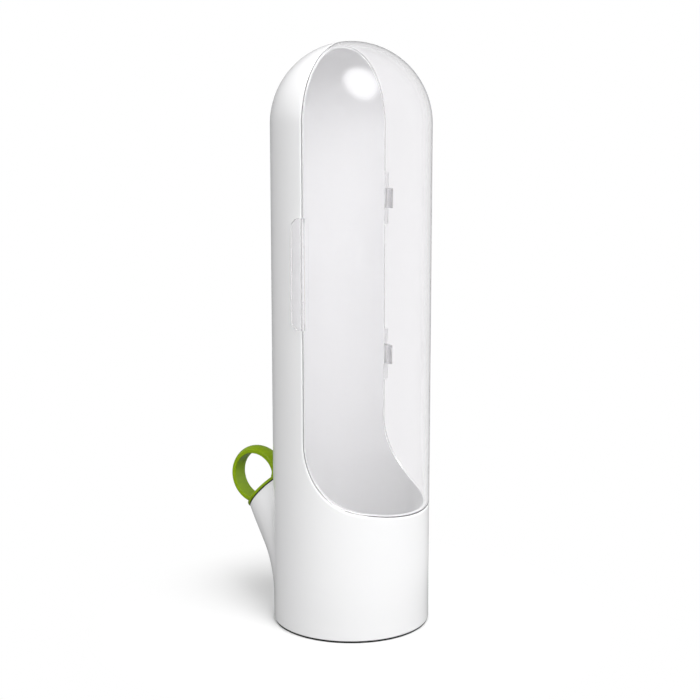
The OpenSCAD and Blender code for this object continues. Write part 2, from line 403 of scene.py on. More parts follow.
@dataclass(frozen=True)
class Hinge:
    """The door's hinge: its axis comes from the joint, its heights from the pins."""

    capsule: Capsule
    window: Window
    knuckle_r: float = 2.6
    door_knuckle_h: float = 9.0
    shell_knuckle_h: float = 7.0
    knuckle_gap: float = 0.3
    web_len: float = 6.0
    web_depth: float = 0.8
    web_turn: float = math.radians(20)
    heel_turn: float = math.radians(140)
    outline_steps: int = 96
    edge_round: float = 0.4
    pin_r: float = 1.0
    pin_fit: float = 0.02
    room_step: float = 0.03

    @property
    def axis(self) -> Array:
        """Place of the hinge axis in plan."""
        return np.array(joint("door_hinge")["pos_m"][:2]) / MM

    @property
    def heights(self) -> list[float]:
        """Middle heights of the two hinges: a pin ends level with its highest knuckle."""
        above = self.door_knuckle_h / 2 + self.knuckle_gap + self.shell_knuckle_h
        return [node_box(f"{name}_hinge_pin")[1][2] - above for name in ("lower", "upper")]

    def door_spans(self) -> list[tuple[float, float]]:
        """Lowest and highest point of each knuckle on the door."""
        half = self.door_knuckle_h / 2
        return [(z - half, z + half) for z in self.heights]

    def shell_spans(self) -> list[tuple[float, float]]:
        """Lowest and highest point of each knuckle on the shell."""
        near = self.door_knuckle_h / 2 + self.knuckle_gap
        far = near + self.shell_knuckle_h
        return [span for z in self.heights for span in ((z - far, z - near), (z + near, z + far))]

    def axes(self) -> Axes:
        """Axes on the hinge with x pointing out of the capsule."""
        out = np.array([*self.axis, 0]) / np.linalg.norm(self.axis)
        return Axes(np.array([*self.axis, 0]), out, np.array([-out[1], out[0], 0]), np.array([0, 0, 1.0]))

    def rows(self, spans: Sequence[tuple[float, float]], steps: int = 44) -> Array:
        """Heights along the window's sides, with a close pair at both ends of each knuckle's room."""
        plain = np.linspace(self.window.corner_z, self.capsule.dome_z, steps + 1)
        ends = np.array(spans) + np.array([-self.knuckle_gap, self.knuckle_gap])
        pairs = np.concatenate([ends.ravel() - self.room_step, ends.ravel() + self.room_step])
        return np.unique(np.concatenate([plain, pairs]))

    def make_room(self, points: Array, spans: Sequence[tuple[float, float]]) -> Array:
        """Carves round rooms for the other piece's knuckles into a wall.

        Within a room's heights, x is at most axis_x - sqrt(room_r^2 - (y - axis_y)^2).

        Args:
            points: Points of the wall.
            spans: Lowest and highest point of each knuckle that needs room.

        Returns:
            The carved points.
        """
        room_r = self.knuckle_r + self.knuckle_gap
        beside = points[:, 1] - self.axis[1]
        limit = self.axis[0] - np.sqrt(np.maximum(room_r ** 2 - beside ** 2, 0))
        ends = np.array(spans) + np.array([-self.knuckle_gap, self.knuckle_gap])
        height = points[:, 2, None]
        inside = ((height > ends[:, 0]) & (height < ends[:, 1])).any(axis=1) & (np.abs(beside) < room_r)
        carved = points.copy()
        carved[inside, 0] = np.minimum(points[inside, 0], limit[inside])
        return carved

    def knuckle(self, span: tuple[float, float], side: int, bore_r: float) -> Array:
        """One knuckle with its web: a polar outline carried upwards, with rounded rims and a bore.

        The outline is a circle, but from the web's outer face to its foot it is the straight line
        r = (p x q) / (e x (q - p)) between two corners p and q in the direction e.

        Args:
            span: Lowest and highest point.
            side: 1 for a web that runs back over the shell, -1 for one that runs over the door.
            bore_r: Radius of the pin's bore.

        Returns:
            The grid of points, closed both ways.
        """
        foot = math.sqrt(self.capsule.radius ** 2 - self.web_len ** 2) - self.web_depth
        foot -= float(np.linalg.norm(self.axis))
        leave = self.knuckle_r * np.array([math.cos(self.web_turn), math.sin(self.web_turn)])
        toe = np.array([foot, self.web_len])
        heel = self.knuckle_r * np.array([math.cos(self.heel_turn), math.sin(self.heel_turn)])
        toe_turn = math.atan2(toe[1], toe[0])
        even = np.linspace(0, 2 * math.pi, self.outline_steps + 1)[:-1]
        turn = np.unique(np.concatenate([even, [self.web_turn, toe_turn, self.heel_turn]]))
        outline = np.full_like(turn, self.knuckle_r)
        for start, end, p, q in ((self.web_turn, toe_turn, leave, toe),
                                 (toe_turn, self.heel_turn, toe, heel)):
            on = (turn >= start) & (turn <= end)
            way = q - p
            cross = np.cos(turn[on]) * way[1] - np.sin(turn[on]) * way[0]
            outline[on] = (p[0] * q[1] - p[1] * q[0]) / cross
        low, high = span
        rim = rounded([(0, low, 0), (1, low, self.edge_round), (1, high, self.edge_round), (0, high, 0)])
        drawn_in = np.where(rim[:, :1] > 0, 1 - rim[:, :1], 0)
        radius = np.where(rim[:, :1] > 0, outline[None] - drawn_in, bore_r)
        plan = points_at(radius * np.cos(turn), side * radius * np.sin(turn), rim[:, 1:])
        return self.axes().place(plan)


@dataclass(frozen=True)
class Spout:
    """The filling spout: its axis comes from the stopper's slide; its mouth's place and size are given."""

    capsule: Capsule
    mouth_out: float = 9.0
    mouth_z: float = 52.9
    mouth_r: float = 12.5
    bore_r: float = 10.3
    flare: float = math.radians(16.5)
    blend: float = 7.5
    blend_share: float = 0.55
    bend_share: float = 0.8
    stop_share: float = 0.3
    root_rounds: int = 60
    rim_round: float = 0.5

    def axes(self) -> Axes:
        """Axes on the mouth: z out along the spout, y up and back towards the capsule."""
        out = np.array(joint("stopper_pull")["axis"], float)
        up = np.array([0, -out[2], out[1]])
        mouth = np.array([0, self.capsule.radius + self.mouth_out, self.mouth_z])
        return Axes(mouth, np.array([1.0, 0, 0]), up, out)

    def turn_of(self, points: Array) -> Array:
        """Angle of points about the spout's axis, from straight up."""
        local = self.axes().local(points)
        return np.arctan2(local[..., 0], local[..., 1])

    def place(self, turn: Array, reach: Array, along: Array) -> Array:
        """Points at an angle about the axis, a distance from it and a place along it."""
        return self.axes().place(points_at(reach * np.sin(turn), reach * np.cos(turn), along))

    def wall_along(self, turn: Array, reach: Array, radius: float) -> Array:
        """Place along the axis at which a half plane through it meets the capsule's wall.

        With y = mouth_y + along out_y - reach cos(turn) out_z on the cylinder x^2 + y^2 = radius^2,
        along = (sqrt(radius^2 - (reach sin turn)^2) - mouth_y + reach cos(turn) out_z) / out_y.
        """
        axes = self.axes()
        depth = np.sqrt(np.maximum(radius ** 2 - (reach * np.sin(turn)) ** 2, 0))
        return (depth - axes.origin[1] + reach * np.cos(turn) * axes.z[2]) / axes.z[1]

    def root(self, turn: Array) -> Array:
        """Distance from the axis at which the flared skin meets the wall, by repeated substitution."""
        reach = np.full_like(turn, self.mouth_r)
        for _ in range(self.root_rounds):
            reach = self.mouth_r - self.wall_along(turn, reach, self.capsule.radius) * math.tan(self.flare)
        return reach

    def skin(self, turn: Array, bend_steps: int = 14, straight_steps: int = 8) -> list[tuple[Array, Array]]:
        """The outer skin from the wall to the mouth, as (reach, along) rows.

        From its foot on the wall each line bends as a quadratic curve, whose control point is where the
        wall's tangent crosses the straight flare, and then runs straight to the mouth. Where the spout
        is short, shares of its length limit the blend, the bend and the end of the straight part.

        Args:
            turn: Angles about the axis.
            bend_steps: Segments of the bend.
            straight_steps: Segments of the straight part.

        Returns:
            Rows from the wall to the mouth.
        """
        slope = math.tan(self.flare)
        root = self.root(turn)
        room = np.hypot(root - self.mouth_r, self.wall_along(turn, root, self.capsule.radius))
        blend = self.blend * np.tanh(self.blend_share * room / self.blend)
        foot = root + blend
        nudge = 0.01
        foot_along = self.wall_along(turn, foot, self.capsule.radius)
        rate = (self.wall_along(turn, foot + nudge, self.capsule.radius) - foot_along) / nudge
        back = (foot - self.mouth_r + foot_along * slope) / (1 + rate * slope)
        knee, knee_along = foot - back, foot_along - back * rate
        longest = self.bend_share * np.abs(knee_along) / math.cos(self.flare)
        length = np.minimum(np.hypot(back, back * rate), longest)
        start = knee - length * math.sin(self.flare)
        start_along = knee_along + length * math.cos(self.flare)
        share = np.linspace(0, 1, bend_steps + 1)
        rows = [((1 - t) ** 2 * foot + 2 * t * (1 - t) * knee + t ** 2 * start,
                 (1 - t) ** 2 * foot_along + 2 * t * (1 - t) * knee_along + t ** 2 * start_along)
                for t in share]
        stop = np.minimum(-self.rim_round, start_along * self.stop_share)
        for t in np.linspace(0, 1, straight_steps + 1)[1:]:
            along = start_along + (stop - start_along) * t
            rows.append((self.mouth_r - along * slope, along))
        return rows

    def rim_and_bore(self, turn: Array, inner_turn: Array, inner_r: float,
                     bore_steps: int = 12, edge_steps: int = 4) -> list[tuple[Array, Array, Array]]:
        """The rounded mouth rim and the bore down to the inner wall, as (turn, reach, along) rows.

        Args:
            turn: Angles about the axis at the mouth.
            inner_turn: Angles about the axis at the inner wall.
            inner_r: Radius of the inner wall.
            bore_steps: Segments along the bore.
            edge_steps: Segments of the rounded edge at the inner wall.

        Returns:
            Rows from the mouth's edge to the edge of the hole in the inner wall.
        """
        rim = rounded([(self.mouth_r, -2 * self.rim_round, 0), (self.mouth_r, 0, self.rim_round),
                       (self.bore_r, 0, self.rim_round), (self.bore_r, -2 * self.rim_round, 0)])
        rows = [(turn, np.full_like(turn, reach), np.full_like(turn, along)) for reach, along in rim[2:]]
        end = self.wall_along(inner_turn, np.full_like(turn, self.bore_r), inner_r) + self.rim_round
        for t in np.linspace(0, 1, bore_steps + 1)[1:]:
            along = -2 * self.rim_round * (1 - t) + end * t
            rows.append((turn + (inner_turn - turn) * t, np.full_like(turn, self.bore_r), along))
        for t in np.linspace(0, math.pi / 2, edge_steps + 1)[1:]:
            reach = np.full_like(turn, self.bore_r + self.rim_round * (1 - math.cos(t)))
            wall = self.wall_along(inner_turn, reach, inner_r)
            rows.append((inner_turn, reach, wall + self.rim_round * (1 - math.sin(t))))
        return rows


# Finishes


class Value:
    """A shader socket that takes part in Python expressions on numbers."""

    def __init__(self, shader: "Shader", socket: bpy.types.NodeSocket) -> None:
        """Wraps an output socket of a shader's node."""
        self.shader = shader
        self.socket = socket

    def _math(self, operation: str, first: Any, second: Any) -> "Value":
        """A Math node on two values."""
        return self.shader.node("Math", {"operation": operation}, {0: first, 1: second})

    def __add__(self, other: Any) -> "Value":
        """self + other."""
        return self._math("ADD", self, other)

    def __sub__(self, other: Any) -> "Value":
        """self - other."""
        return self._math("SUBTRACT", self, other)

    def __rsub__(self, other: Any) -> "Value":
        """other - self."""
        return self._math("SUBTRACT", other, self)

    def __mul__(self, other: Any) -> "Value":
        """self * other."""
        return self._math("MULTIPLY", self, other)

    __radd__ = __add__
    __rmul__ = __mul__

    def or_else(self, other: Any) -> "Value":
        """The larger of two values."""
        return self._math("MAXIMUM", self, other)


class Shader:
    """The node tree of a material, a lamp or the world."""

    def __init__(self, owner: Any) -> None:
        """Takes a material, a lamp or a world and empties its node tree."""
        owner.use_nodes = True
        self.owner = owner
        self.tree = owner.node_tree
        self.tree.nodes.clear()

    def node(self, kind: str, settings: Union[dict[str, Any], None] = None,
             inputs: Union[dict[Any, Any], None] = None, output: Union[int, str] = 0) -> Value:
        """Adds a node.

        Args:
            kind: The node's type without its ShaderNode prefix.
            settings: Attributes, which are set first.
            inputs: Values or links of its sockets, by name or number.
            output: The output that is returned, by name or number.

        Returns:
            The output as a value.
        """
        made = self.tree.nodes.new("ShaderNode" + kind)
        for name, setting in (settings or {}).items():
            setattr(made, name, setting)
        for name, given in (inputs or {}).items():
            if isinstance(given, Value):
                self.tree.links.new(given.socket, made.inputs[name])
            else:
                made.inputs[name].default_value = given
        return Value(self, made.outputs[output]) if made.outputs else Value(self, None)

    def place(self, scale: Sequence[float] = (1, 1, 1)) -> Value:
        """Object coordinates, stretched by a scale."""
        where = self.node("TexCoord", output="Object")
        return self.node("Mapping", inputs={"Vector": where, "Scale": scale})

    def noise(self, where: Value, scale: float, detail: float = 2.0, rough: float = 0.5) -> Value:
        """A noise pattern from 0 to 1, with scale waves to a metre."""
        return self.node("TexNoise", inputs={
            "Vector": where, "Scale": scale, "Detail": detail, "Roughness": rough})

    def step(self, value: Value, low: float, high: float) -> Value:
        """A value drawn out so that low becomes 0 and high becomes 1."""
        return self.node("MapRange", {"interpolation_type": "SMOOTHSTEP"},
                         {"Value": value, "From Min": low, "From Max": high})

    def tint(self, share: Value, first: Colour, second: Colour) -> Value:
        """A colour between two, by share."""
        return self.node("Mix", {"data_type": "RGBA"}, {0: share, 6: (*first, 1), 7: (*second, 1)}, 2)

    def bump(self, height: Value, strength: float, distance: float) -> Value:
        """A normal from a height pattern, at a strength and a depth in metres."""
        return self.node("Bump", inputs={"Height": height, "Strength": strength, "Distance": distance})

    def measure(self, operation: str, first: Value, second: Sequence[float] = (0, 0, 0)) -> Value:
        """A number worked out from a vector, or from two."""
        return self.node("VectorMath", {"operation": operation}, {0: first, 1: second}, "Value")

    def light_path(self, *rays: str) -> Value:
        """1 where the ray is any of the named kinds."""
        path = [self.node("LightPath", output=f"Is {ray} Ray") for ray in rays]
        found = path[0]
        for other in path[1:]:
            found = found.or_else(other)
        return found

    def surface(self, shader: Value) -> None:
        """Links a shader to the output."""
        kinds = {bpy.types.World: "OutputWorld", bpy.types.Light: "OutputLight",
                 bpy.types.Material: "OutputMaterial"}
        kind = next(kind for owner, kind in kinds.items() if isinstance(self.owner, owner))
        self.node(kind, inputs={"Surface": shader})


@dataclass(frozen=True)
class Finish:
    """A finish, which paints a material of its own name."""

    name: str

    def paint(self, shader: Shader) -> Value:
        """Makes the finish's nodes and returns its surface."""
        raise NotImplementedError

    def material(self) -> bpy.types.Material:
        """Makes the material."""
        made = bpy.data.materials.new(self.name)
        shader = Shader(made)
        shader.surface(self.paint(shader))
        return made


@dataclass(frozen=True)
class GlossPlastic(Finish):
    """Moulded plastic: a colour that drifts a little, faint handling marks and a fine moulded skin."""

    colour: Colour
    shade: Colour
    roughness: float
    smear: float
    peel: float
    ior: float = 1.46
    specular: float = 0.5

    def paint(self, shader: Shader) -> Value:
        """Makes the finish's nodes and returns its surface."""
        where = shader.place()
        drift = shader.noise(where, scale=18, detail=3)
        streaks = shader.noise(shader.place((1.0, 1.0, 0.35)), scale=46, detail=5, rough=0.62)
        smears = shader.step(streaks, low=0.42, high=0.75)
        fine = shader.noise(where, scale=620, detail=3, rough=0.55)
        skin = fine + shader.noise(where, scale=90, detail=1) * 0.6
        inputs = {
            "Base Color": shader.tint(drift, self.shade, self.colour),
            "Roughness": self.roughness + smears * self.smear,
            "IOR": self.ior,
            "Specular IOR Level": self.specular,
            "Normal": shader.bump(skin, self.peel, distance=0.00012),
        }
        return shader.node("BsdfPrincipled", inputs=inputs)


@dataclass(frozen=True)
class ClearPlastic(Finish):
    """Polished clear plastic with a faint tint, light smears and the slight waves of a moulding.

    A share, leak, of the light that has met more than a number of faces, trapped, goes straight on.
    """

    tint: Colour
    deep: Colour
    roughness: float
    smear: float
    ior: float = 1.49
    wave: float = 0.05
    trapped: int = 4
    leak: float = 0.28

    def paint(self, shader: Shader) -> Value:
        """Makes the finish's nodes and returns its surface, through which lamps light what is behind."""
        where = shader.place((1.0, 1.0, 0.4))
        smears = shader.step(shader.noise(where, scale=38, detail=5, rough=0.6), low=0.48, high=0.8)
        waves = shader.noise(where, scale=34, detail=1)
        inputs = {
            "Base Color": shader.tint(shader.noise(where, scale=12), self.deep, self.tint),
            "Roughness": self.roughness + smears * self.smear,
            "IOR": self.ior,
            "Transmission Weight": 1.0,
            "Normal": shader.bump(waves, self.wave, distance=0.0004),
        }
        glass = shader.node("BsdfPrincipled", inputs=inputs)
        face = tuple(math.sqrt(level) for level in self.tint)
        through = shader.node("BsdfTransparent", inputs={"Color": (*face, 1)})
        depth = shader.node("LightPath", output="Ray Depth")
        lost = shader.node("Math", {"operation": "GREATER_THAN"}, {0: depth, 1: self.trapped})
        freed = shader.light_path("Shadow").or_else(lost * self.leak)
        return shader.node("MixShader", inputs={0: freed, 1: glass, 2: through})


@dataclass(frozen=True)
class SoftRubber(Finish):
    """Matt elastomer: mottled dark grey with a fine grain and a little dust."""

    colour: Colour
    dust: Colour
    roughness: float = 0.62

    def paint(self, shader: Shader) -> Value:
        """Makes the finish's nodes and returns its surface."""
        where = shader.place()
        dust = shader.step(shader.noise(where, scale=120, detail=5, rough=0.65), low=0.45, high=0.85)
        grain = shader.noise(where, scale=1500)
        inputs = {
            "Base Color": shader.tint(dust, self.colour, self.dust),
            "Roughness": self.roughness + dust * 0.2,
            "Normal": shader.bump(grain, strength=0.25, distance=0.0002),
        }
        return shader.node("BsdfPrincipled", inputs=inputs)


@dataclass(frozen=True)
class DrawnSteel(Finish):
    """Stainless wire with fine lines along its length."""

    colour: Colour
    shade: Colour
    roughness: float = 0.24

    def paint(self, shader: Shader) -> Value:
        """Makes the finish's nodes and returns its surface."""
        lines = shader.noise(shader.place((1.0, 1.0, 0.02)), scale=5200, detail=3)
        inputs = {
            "Base Color": shader.tint(lines, self.shade, self.colour),
            "Metallic": 1.0,
            "Roughness": self.roughness + lines * 0.16,
            "Normal": shader.bump(lines, strength=0.2, distance=0.00005),
        }
        return shader.node("BsdfPrincipled", inputs=inputs)


WHITE_PLASTIC = GlossPlastic("white_moulding", colour=(0.86, 0.86, 0.863), shade=(0.84, 0.84, 0.847),
                             roughness=0.17, smear=0.07, peel=0.035)
CLEAR_PLASTIC = ClearPlastic("clear_moulding", tint=(0.95, 0.945, 0.952), deep=(0.932, 0.927, 0.937),
                             roughness=0.01, smear=0.025)
GREEN_PLASTIC = GlossPlastic("green_moulding", colour=(0.28, 0.42, 0.003), shade=(0.22, 0.35, 0.003),
                             roughness=0.24, smear=0.1, peel=0.05, specular=0.25)
DARK_RUBBER = SoftRubber("dark_elastomer", colour=(0.012, 0.013, 0.011), dust=(0.035, 0.035, 0.033))
PIN_STEEL = DrawnSteel("drawn_wire", colour=(0.66, 0.66, 0.67), shade=(0.5, 0.5, 0.51))


def dress(piece: bpy.types.Object, node: str, body: Body, slot: Slot,
          material: bpy.types.Material) -> bpy.types.Object:
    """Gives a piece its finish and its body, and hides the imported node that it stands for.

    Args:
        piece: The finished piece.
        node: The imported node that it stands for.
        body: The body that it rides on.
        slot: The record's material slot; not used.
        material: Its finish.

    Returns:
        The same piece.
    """
    piece.data.materials.append(material)
    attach(piece, body.value)
    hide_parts(node)
    LOG.info("%s: %d faces, on %s", piece.name, len(piece.data.polygons), body.value)
    return piece


# Sub-assemblies


@dataclass(frozen=True)
class WhiteShell:
    """The white back of the capsule with its dome, reservoir wall, ledge, spout and knuckles."""

    capsule: Capsule
    window: Window
    hinge: Hinge
    spout: Spout
    cap_seat_r: float = 33.6
    cap_seat_z: float = 3.3
    edge_round: float = 0.45
    ledge_round: float = 0.2
    margin: float = 0.8
    columns: int = 112
    crowd: float = 0.72
    band_rows: int = 44
    spout_half: float = math.radians(58)
    spout_low: float = 2.5
    spout_high: float = 70.0

    def shares(self) -> Array:
        """Places across the back from the -X edge to the +X edge, crowded towards both edges."""
        even = np.linspace(0, 1, self.columns + 1)
        return even - self.crowd / (2 * math.pi) * np.sin(2 * math.pi * even)

    def back_azimuth(self, inset: float, radius: float) -> Array:
        """Azimuths of the back's columns, from the -X edge over the back to the +X edge."""
        half = math.acos((self.window.split_back - inset) / radius)
        return math.pi - (2 * self.shares() - 1) * half

    def columns_of(self, inset: float, radius: float) -> tuple[Array, Array]:
        """Azimuth and top height of every column of the reservoir wall.

        The columns run over the back from -X to +X, where the top is the corners' height, and then
        round the front from +X to -X, where the top is the window's lower edge.

        Args:
            inset: How far the sheet's edge is drawn into the window.
            radius: Radius of the sheet.

        Returns:
            The azimuths, which fall steadily, and the top heights.
        """
        back = self.back_azimuth(inset, radius)
        front = self.window.lower(inset, radius)[::-1]
        azimuth = np.arctan2(front[:, 0], -front[:, 1])
        top = np.concatenate([np.full_like(back, self.window.corner_z), front[1:-1, 2]])
        return np.concatenate([back, azimuth[1:-1]]), top

    def block(self) -> tuple[int, int, int, int]:
        """First and last row, and first and last column, of the block of a sheet round the spout."""
        rise = np.linspace(self.capsule.foot_z, self.window.corner_z, self.band_rows + 1)
        rows = np.flatnonzero((rise > self.spout_low) & (rise < self.spout_high))
        across = self.back_azimuth(-self.margin, self.capsule.radius) - math.pi
        columns = np.flatnonzero(np.abs(across) < self.spout_half)
        return rows[0], rows[-1], columns[0], columns[-1]

    def sheet(self, skin: Skin, inset: float, radius: float, low: float) -> tuple[Array, Array]:
        """Adds one whole sheet of the wall, but for a block round the spout.

        Args:
            skin: The mesh that it goes into.
            inset: How far the sheet's edge is drawn into the window.
            radius: Radius of the sheet.
            low: Height of its lowest row.

        Returns:
            Azimuths and heights along the block's closed outline.
        """
        azimuth, top = self.columns_of(inset, radius)
        rise = np.linspace(0, 1, self.band_rows + 1)[:, None]
        height = low + (top - low) * rise
        keep = np.ones((self.band_rows, len(azimuth)), bool)
        first, last, left, right = self.block()
        keep[first:last, left:right] = False
        skin.grid(self.capsule.around(radius, azimuth[None], height), wrap_v=True, keep=keep)
        back = self.back_azimuth(inset, radius)
        heights = self.hinge.rows(self.hinge.door_spans())
        skin.grid(self.capsule.around(radius, back[None], heights[:, None]))
        skin.grid(self.capsule.dome_half(
            radius, self.window.split_back - inset, Facing.BACK, self.shares()))
        level, upright = np.arange(left, right), np.arange(first, last)
        row = np.concatenate([np.full_like(level, first), upright,
                              np.full_like(level, last), upright[::-1] + 1])
        column = np.concatenate([level, np.full_like(upright, right),
                                 level[::-1] + 1, np.full_like(upright, left)])
        return azimuth[column], height[row, column]

    def patch(self, skin: Skin, radius: float, outline: tuple[Array, Array], hole: Array,
              steps: int = 10) -> None:
        """Fills a sheet between a block's outline and a hole, in even steps of azimuth and height.

        Args:
            skin: The mesh that it goes into.
            radius: Radius of the sheet.
            outline: Azimuths and heights of the outline.
            hole: Points of the hole's edge, one for each point of the outline.
            steps: Rows of the patch.
        """
        share = np.linspace(0, 1, steps + 1)[:, None]
        start = np.arctan2(hole[:, 0], -hole[:, 1]) % (2 * math.pi)
        azimuth = start + (outline[0] - start) * share
        height = hole[:, 2] + (outline[1] - hole[:, 2]) * share
        skin.grid(self.capsule.around(radius, azimuth, height), wrap_v=True)

    def build(self) -> bpy.types.Object:
        """Builds the shell as one closed mesh with its four knuckles."""
        skin = Skin()
        radius, inner_r = self.capsule.radius, self.capsule.inner_r
        ledge_r, ledge_w = self.capsule.ledge_r, self.window.ledge_w
        edge = rounded([(-self.margin, radius, 0), (0, radius, self.edge_round),
                        (0, ledge_r, self.ledge_round), (ledge_w, ledge_r, self.ledge_round),
                        (ledge_w, inner_r, self.ledge_round), (ledge_w - self.margin, inner_r, 0)])
        heights = self.hinge.rows(self.hinge.door_spans())
        skin.grid(self.window.band(edge, heights, self.shares()), wrap_v=True)
        low, inner_low = self.capsule.foot_z + 2 * self.edge_round, self.cap_seat_z + self.margin
        outline = self.sheet(skin, -self.margin, radius, low)
        inner_outline = self.sheet(skin, ledge_w - self.margin, inner_r, inner_low)
        self.add_spout(skin, outline, inner_outline)
        self.add_foot(skin, low, inner_low)
        skin.reshape(lambda points: self.hinge.make_room(points, self.hinge.door_spans()))
        for span in self.hinge.shell_spans():
            skin.grid(self.hinge.knuckle(span, 1, self.hinge.pin_r + self.hinge.pin_fit), True, True)
        return skin.piece("white_shell")

    def add_spout(self, skin: Skin, outline: tuple[Array, Array], inner_outline: tuple[Array, Array]) -> None:
        """Adds the spout from the outer wall over its rim and down its bore to the inner wall."""
        radius, inner_r = self.capsule.radius, self.capsule.inner_r
        turn = self.spout.turn_of(self.capsule.around(radius, *outline))
        inner_turn = self.spout.turn_of(self.capsule.around(inner_r, *inner_outline))
        inner_turn = turn + (inner_turn - turn + math.pi) % (2 * math.pi) - math.pi
        rows = [self.spout.place(turn, reach, along) for reach, along in self.spout.skin(turn)]
        rows += [self.spout.place(*row) for row in self.spout.rim_and_bore(turn, inner_turn, inner_r)]
        skin.grid(np.stack(rows), wrap_v=True)
        self.patch(skin, radius, outline, rows[0])
        self.patch(skin, inner_r, inner_outline, rows[-1])

    def add_foot(self, skin: Skin, low: float, inner_low: float) -> None:
        """Adds the rounded foot rim and the cap's seat between the outer and the inner sheet."""
        radius, inner_r, foot_z = self.capsule.radius, self.capsule.inner_r, self.capsule.foot_z
        azimuth, _ = self.columns_of(-self.margin, radius)
        inner_azimuth, _ = self.columns_of(self.window.ledge_w - self.margin, inner_r)
        line = rounded([(radius, low, 0), (radius, foot_z, self.edge_round),
                        (self.cap_seat_r, foot_z, self.ledge_round), (self.cap_seat_r, self.cap_seat_z, 0),
                        (inner_r, self.cap_seat_z, self.ledge_round), (inner_r, inner_low, 0)])
        share = np.linspace(0, 1, len(line))[:, None]
        turned = azimuth + (inner_azimuth - azimuth) * share
        skin.grid(self.capsule.around(line[:, :1], turned, line[:, 1:]), wrap_v=True)


@dataclass(frozen=True)
class ClearDoor:
    """The clear front with half of the dome, its knuckles and its pull tab."""

    capsule: Capsule
    window: Window
    hinge: Hinge
    edge_round: float = 0.35
    margin: float = 0.8
    lower_rows: int = 16
    pin_run: float = 0.06
    tab_drop: float = 62.0
    tab_h: float = 47.0
    tab_reach: float = 4.0
    tab_root: float = 1.6
    tab_t: float = 1.3
    tab_gap: float = 0.4
    tab_chamfer: float = 2.5
    tab_round: float = 0.3
    tab_lift: float = 0.01
    tab_ends: tuple[float, ...] = (0.0, 0.1, 0.3, 0.9, 1.5, 2.1)
    tab_plain: float = 4.0
    tab_steps: int = 8

    @property
    def edge_inset(self) -> float:
        """Inset at which the door's two faces start."""
        return self.window.door_gap + self.margin

    def shares(self) -> Array:
        """Places across the door from the -X edge to the +X edge, as its lower edge gives them."""
        lower = self.window.lower(self.edge_inset, self.capsule.radius)
        azimuth = np.arctan2(lower[:, 0], -lower[:, 1])
        return (azimuth / azimuth[-1] + 1) / 2

    def sheet(self, skin: Skin, radius: float) -> None:
        """Adds one face of the door: the part below the corners, the straight part and the dome.

        Args:
            skin: The mesh that it goes into.
            radius: Radius of the face.
        """
        lower = self.window.lower(self.edge_inset, radius)
        azimuth = np.arctan2(lower[:, 0], -lower[:, 1])
        rise = np.linspace(0, 1, self.lower_rows + 1)[:, None]
        height = lower[:, 2] + (self.window.corner_z - lower[:, 2]) * rise
        skin.grid(self.capsule.around(radius, azimuth[None], height))
        heights = self.hinge.rows(self.hinge.shell_spans())[:, None]
        edge_y = self.window.split_back - self.edge_inset
        above = (2 * self.shares() - 1) * math.acos(-edge_y / radius)
        share = (heights - self.window.corner_z) / (self.capsule.dome_z - self.window.corner_z)
        skin.grid(self.capsule.around(radius, azimuth + (above - azimuth) * share, heights))
        skin.grid(self.capsule.dome_half(radius, edge_y, Facing.FRONT, self.shares()))

    def add_tab(self, skin: Skin) -> None:
        """Adds the pull tab: an L-shaped section between two chains, carried upwards.

        The front chain runs from the door's face out and back along the tab's outer face, the rear one
        runs along its inner face. Near both ends the tab's reach falls by the chamfer.
        """
        outer_r = self.capsule.radius + self.tab_lift
        edge = self.window.split_back - self.window.door_gap
        front = edge - self.tab_root
        inner_x = -(self.capsule.radius + self.tab_gap)
        outer_x = inner_x - self.tab_t
        low = self.capsule.dome_z - self.tab_drop - self.tab_h / 2
        ends = np.array([*self.tab_ends, self.tab_chamfer, self.tab_chamfer + self.tab_round])
        plain = np.linspace(self.tab_plain, self.tab_h - self.tab_plain, self.tab_steps)
        climb = np.concatenate([ends, plain, (self.tab_h - ends)[::-1]])
        near_end = np.minimum(climb, self.tab_h - climb)
        rows = []
        for rise, end in zip(climb, near_end):
            shrink = max(self.tab_round - end, 0)
            drawn_in = self.tab_round - math.sqrt(self.tab_round ** 2 - shrink ** 2)
            back = self.window.split_back + self.tab_reach - max(self.tab_chamfer - end, 0) - drawn_in
            fore, rear = front + drawn_in, edge - drawn_in
            out, under = outer_x + drawn_in, inner_x - drawn_in
            middle = (out + under) / 2
            face = rounded([(-math.sqrt(outer_r ** 2 - fore ** 2), fore, 0), (out, fore, self.tab_round),
                            (out, back, self.tab_round), (middle, back, 0)])
            rest = rounded([(-math.sqrt(outer_r ** 2 - rear ** 2), rear, 0), (under, rear, self.tab_round),
                            (under, back, self.tab_round), (middle, back, 0)])
            section = np.stack([face, rest])
            rows.append(np.concatenate([section, np.full((*section.shape[:2], 1), low + rise)], axis=-1))
        chains = np.stack(rows)
        skin.grid(np.concatenate([chains[:, 0], chains[:, 1, ::-1]], axis=1), wrap_v=True)
        skin.grid(chains[0])
        skin.grid(chains[-1])

    def build(self) -> bpy.types.Object:
        """Builds the door as one mesh with its two knuckles and its tab."""
        skin = Skin()
        radius = self.capsule.radius
        inner_r = radius - self.capsule.door_wall
        gap = self.window.door_gap
        edge = rounded([(self.edge_inset, radius, 0), (gap, radius, self.edge_round),
                        (gap, inner_r, self.edge_round), (self.edge_inset, inner_r, 0)])
        heights = self.hinge.rows(self.hinge.shell_spans())
        skin.grid(self.window.band(edge, heights, self.shares()), wrap_v=True)
        self.sheet(skin, radius)
        self.sheet(skin, inner_r)
        skin.reshape(lambda points: self.hinge.make_room(points, self.hinge.shell_spans()))
        for span in self.hinge.door_spans():
            skin.grid(self.hinge.knuckle(span, -1, self.hinge.pin_r + self.pin_run), True, True)
        self.add_tab(skin)
        return skin.piece("clear_door")


